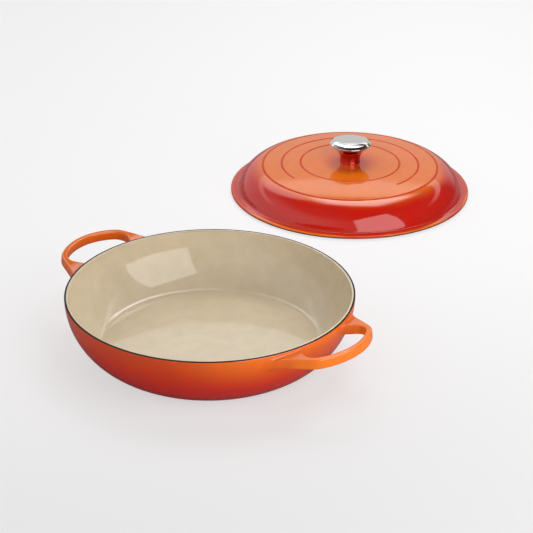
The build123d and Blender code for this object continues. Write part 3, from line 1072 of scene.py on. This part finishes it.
def polished_steel(finish):
    """Polished steel with faint turning marks and hair scratches, and a painted reflection on the
    stem: red, like the enamel it mirrors.
    """
    material, tree, shader, place = new_material("polished_steel")
    cap = ramp(tree, split(tree, place)["Z"], neck_height, neck_height + 3.0 * MM)
    streaks = noise(tree, place, 900.0, 4.0, 0.7)
    shade = blended(tree, ramp(tree, streaks, 0.3, 0.7), finish.steel, STREAK_COLOUR)
    # Painted reflection: below the cap the steel is coloured red, like the enamel that the stem
    # mirrors
    sockets = {
        "Base Color": blended(tree, cap, finish.stem_painted_reflection, shade),
        "Metallic": 1.0,
        "Roughness": ramp(tree, streaks, 0.3, 0.8, 0.05, 0.13),
        "Normal": bump(tree, streaks, 0.3, 0.002 * MM),
    }
    feed(tree, shader, sockets)
    return material


def plain_steel(finish):
    """Plain zinc-grey steel of the screw, washer and insert."""
    material, tree, shader, place = new_material("plain_steel")
    grain = noise(tree, place, 1400.0, 5.0, 0.7)
    sockets = {
        "Base Color": blended(tree, ramp(tree, grain, 0.3, 0.7), finish.plain_steel, GRAIN_COLOUR),
        "Metallic": 1.0,
        "Roughness": ramp(tree, grain, 0.3, 0.8, 0.28, 0.5),
    }
    feed(tree, shader, sockets)
    return material


# Stage: floor, surroundings, lamps and camera
def floor_material(stage):
    """Pale floor that keeps the shadow and shows almost white to the eye, with a painted light
    falloff in its glow.
    """
    material, tree, shader, place = new_material("pale_floor")
    ray = add_node(tree, "ShaderNodeLightPath")
    mirrored = [FLOOR_MIRRORED_SHARE * part for part in stage.floor_colour]
    shade = blended(tree, ray["Is Glossy Ray"], stage.floor_colour, mirrored)
    feed(tree, shader, {"Base Color": shade, "Roughness": 0.6, "Specular IOR Level": 0.1})
    across = vector_maths(tree, "DOT_PRODUCT", place, ACROSS)["Value"]
    away = vector_maths(tree, "DOT_PRODUCT", place, AWAY)["Value"]
    # Painted light falloff: the floor's glow dims towards the viewer, most at the near right, and
    # brightens a little at the far right
    right = ramp(tree, across, -0.35, 0.45)
    slant = ramp(tree, away, -0.45, 0.60, -0.16, 0.06)
    depth = ramp(tree, away, -0.45, 0.30, 0.80, 0.96)
    painted_glow_falloff = maths(tree, "ADD", depth, maths(tree, "MULTIPLY", right, slant))
    sockets = {"Color": (1.0, 0.99, 0.99, 1.0), "Strength": painted_glow_falloff}
    glow = add_node(tree, "ShaderNodeEmission", sockets)[0]
    share = maths(tree, "MULTIPLY", ray["Is Camera Ray"], FLOOR_GLOW_SHARE)
    sockets = {0: share, 1: shader.outputs[0], 2: glow}
    surface = add_node(tree, "ShaderNodeMixShader", sockets)[0]
    feed(tree, tree.nodes["Material Output"], {"Surface": surface})
    return material


def aimed(azimuth, elevation=0.0):
    """The direction with an azimuth and an elevation, in degrees."""
    turn, rise = radians(azimuth), radians(elevation)
    return cos(turn) * cos(rise), sin(turn) * cos(rise), sin(rise)


def surroundings():
    """A studio around the part. The camera itself sees a plain backdrop in its place.

    A pale wall stands behind and to the left with a brighter panel above it. A soft fill
    comes from the left, and a small bright panel stands high up behind.
    """
    world = bpy.data.worlds.new("studio")
    bpy.context.scene.world = world
    world.use_nodes = True
    tree = world.node_tree
    tree.nodes.clear()
    way = add_node(tree, "ShaderNodeTexCoord")["Generated"]
    height = split(tree, way)["Z"]

    def lobe(direction, spread, levels):
        """Brightness that grows towards a direction."""
        near = vector_maths(tree, "DOT_PRODUCT", way, direction)["Value"]
        return ramp(tree, near, *spread, *levels)

    def upward(elevations, shares=(0.0, 1.0)):
        """A step between two elevations."""
        low, high = (sin(radians(elevation)) for elevation in elevations)
        return ramp(tree, height, low, high, *shares)

    fill = lobe(aimed(FILL_AZIMUTH), FILL_SPREAD, FILL_LEVELS)
    wall = maths(tree, "MAXIMUM", lobe(aimed(WALL_AZIMUTH), WALL_SPREAD, WALL_LEVELS), fill)
    panel = maths(tree, "MAXIMUM", lobe(aimed(PANEL_AZIMUTH), PANEL_SPREAD, PANEL_LEVELS), fill)
    sky = maths(tree, "MULTIPLY", fill, upward(FILL_FADE, FILL_FADE_SHARES))
    around = mixed(tree, upward(PANEL_FOOT), wall, panel)
    around = mixed(tree, upward(PANEL_HEAD), around, sky)
    high_aim = aimed(HIGH_PANEL_AZIMUTH, HIGH_PANEL_ELEVATION)
    around = maths(tree, "MAXIMUM", around, lobe(high_aim, HIGH_PANEL_SPREAD, HIGH_PANEL_LEVELS))
    seen = add_node(tree, "ShaderNodeLightPath")["Is Camera Ray"]
    shown = mixed(tree, seen, around, BACKDROP_LEVEL)
    sockets = {"Color": (1.0, 0.995, 0.99, 1.0), "Strength": shown}
    light = add_node(tree, "ShaderNodeBackground", sockets)[0]
    add_node(tree, "ShaderNodeOutputWorld", {"Surface": light})


def add_lamp(name, brightness, place, target, width, height, soft):
    """A soft flat lamp. Its brightness is that of its face, where 1 is white.

    soft is the share of the half width over which its edges fade.
    """
    data = bpy.data.lights.new(name, "AREA")
    data.shape = "RECTANGLE"
    data.size = width
    data.size_y = height
    data.energy = brightness * pi * width * height
    lamp = bpy.data.objects.new(name, data)
    bpy.context.scene.collection.objects.link(lamp)
    lamp.location = place
    lamp.rotation_mode = "QUATERNION"
    lamp.rotation_quaternion = (Vector(target) - Vector(place)).to_track_quat("-Z", "Y")
    lamp.visible_camera = False
    if soft:
        data.use_nodes = True
        tree = data.node_tree
        face = split(tree, add_node(tree, "ShaderNodeNewGeometry")["Parametric"])
        fade = 1.0
        for axis in ("X", "Y"):
            off = maths(tree, "ABSOLUTE", maths(tree, "SUBTRACT", face[axis], 0.5))
            fade = maths(tree, "MULTIPLY", ramp(tree, off, 0.5 * (1 - soft), 0.5, 1.0, 0.0), fade)
        feed(tree, tree.nodes["Emission"], {"Strength": fade})


class BRAISER_OT_stage(Operator):
    """Set the floor, the surroundings, the lamps and the camera"""

    bl_idname = "braiser.stage"
    bl_label = "Stage"

    def execute(self, context):
        scene = context.scene
        stage = scene.braiser_stage
        half = FLOOR_HALF_WIDTH
        mesh = bmesh.new()
        corners = [(-half, -half), (half, -half), (half, half), (-half, half)]
        mesh.faces.new([mesh.verts.new((x, y, 0.0)) for x, y in corners])
        data = bpy.data.meshes.new("floor")
        mesh.to_mesh(data)
        mesh.free()
        floor = bpy.data.objects.new("floor", data)
        scene.collection.objects.link(floor)
        data.materials.append(floor_material(stage))
        surroundings()
        add_lamp("softbox", stage.softbox_level, *SOFTBOX)
        add_lamp("overhead", stage.overhead_level, *OVERHEAD)
        camera = bpy.data.objects.new("camera", bpy.data.cameras.new("camera"))
        scene.collection.objects.link(camera)
        facing = Matrix((CAMERA_RIGHT, CAMERA_UP, -CAMERA_FORWARD)).transposed().to_4x4()
        camera.matrix_world = Matrix.Translation(CAMERA_PLACE) @ facing
        camera.data.sensor_width = CAMERA_SENSOR
        camera.data.lens = CAMERA_LENS
        camera.data.clip_end = CAMERA_REACH
        scene.camera = camera
        scene.view_settings.view_transform = "Standard"
        return {"FINISHED"}


OPERATORS = (
    BRAISER_OT_pan_body,
    BRAISER_OT_pan_inside,
    BRAISER_OT_rim_bands,
    BRAISER_OT_lid_body,
    BRAISER_OT_lid_inside,
    BRAISER_OT_knob,
    BRAISER_OT_fixings,
    BRAISER_OT_stage,
)


class BRAISER_PT_panel(Panel):
    """Lists the braiser's pieces and its stage"""

    bl_label = "Braiser"
    bl_idname = "BRAISER_PT_panel"
    bl_space_type = "VIEW_3D"
    bl_region_type = "UI"
    bl_category = "Braiser"

    def draw(self, context):
        for group in settings("pan", "lid", "finish", "stage"):
            box = self.layout.box()
            for name in group.__annotations__:
                box.prop(group, name, text=name.replace("_", " ").title())
        for operator in OPERATORS:
            self.layout.operator(operator.bl_idname)


GROUPS = (
    ("braiser_pan", BraiserPanSizes),
    ("braiser_lid", BraiserLidSizes),
    ("braiser_finish", BraiserFinish),
    ("braiser_stage", BraiserStage),
)


def register():
    for name, group in GROUPS:
        bpy.utils.register_class(group)
        setattr(bpy.types.Scene, name, PointerProperty(type=group))
    for operator in OPERATORS:
        bpy.utils.register_class(operator)
    bpy.utils.register_class(BRAISER_PT_panel)


def unregister():
    bpy.utils.unregister_class(BRAISER_PT_panel)
    for operator in reversed(OPERATORS):
        bpy.utils.unregister_class(operator)
    for name, group in reversed(GROUPS):
        delattr(bpy.types.Scene, name)
        bpy.utils.unregister_class(group)


def main():
    """Build everything."""
    register()
    bpy.ops.braiser.pan_body()
    bpy.ops.braiser.pan_inside()
    bpy.ops.braiser.rim_bands()
    bpy.ops.braiser.lid_body()
    bpy.ops.braiser.lid_inside()
    bpy.ops.braiser.knob()
    bpy.ops.braiser.fixings()
    bpy.ops.braiser.stage()


if __name__ == "__main__":
    main()
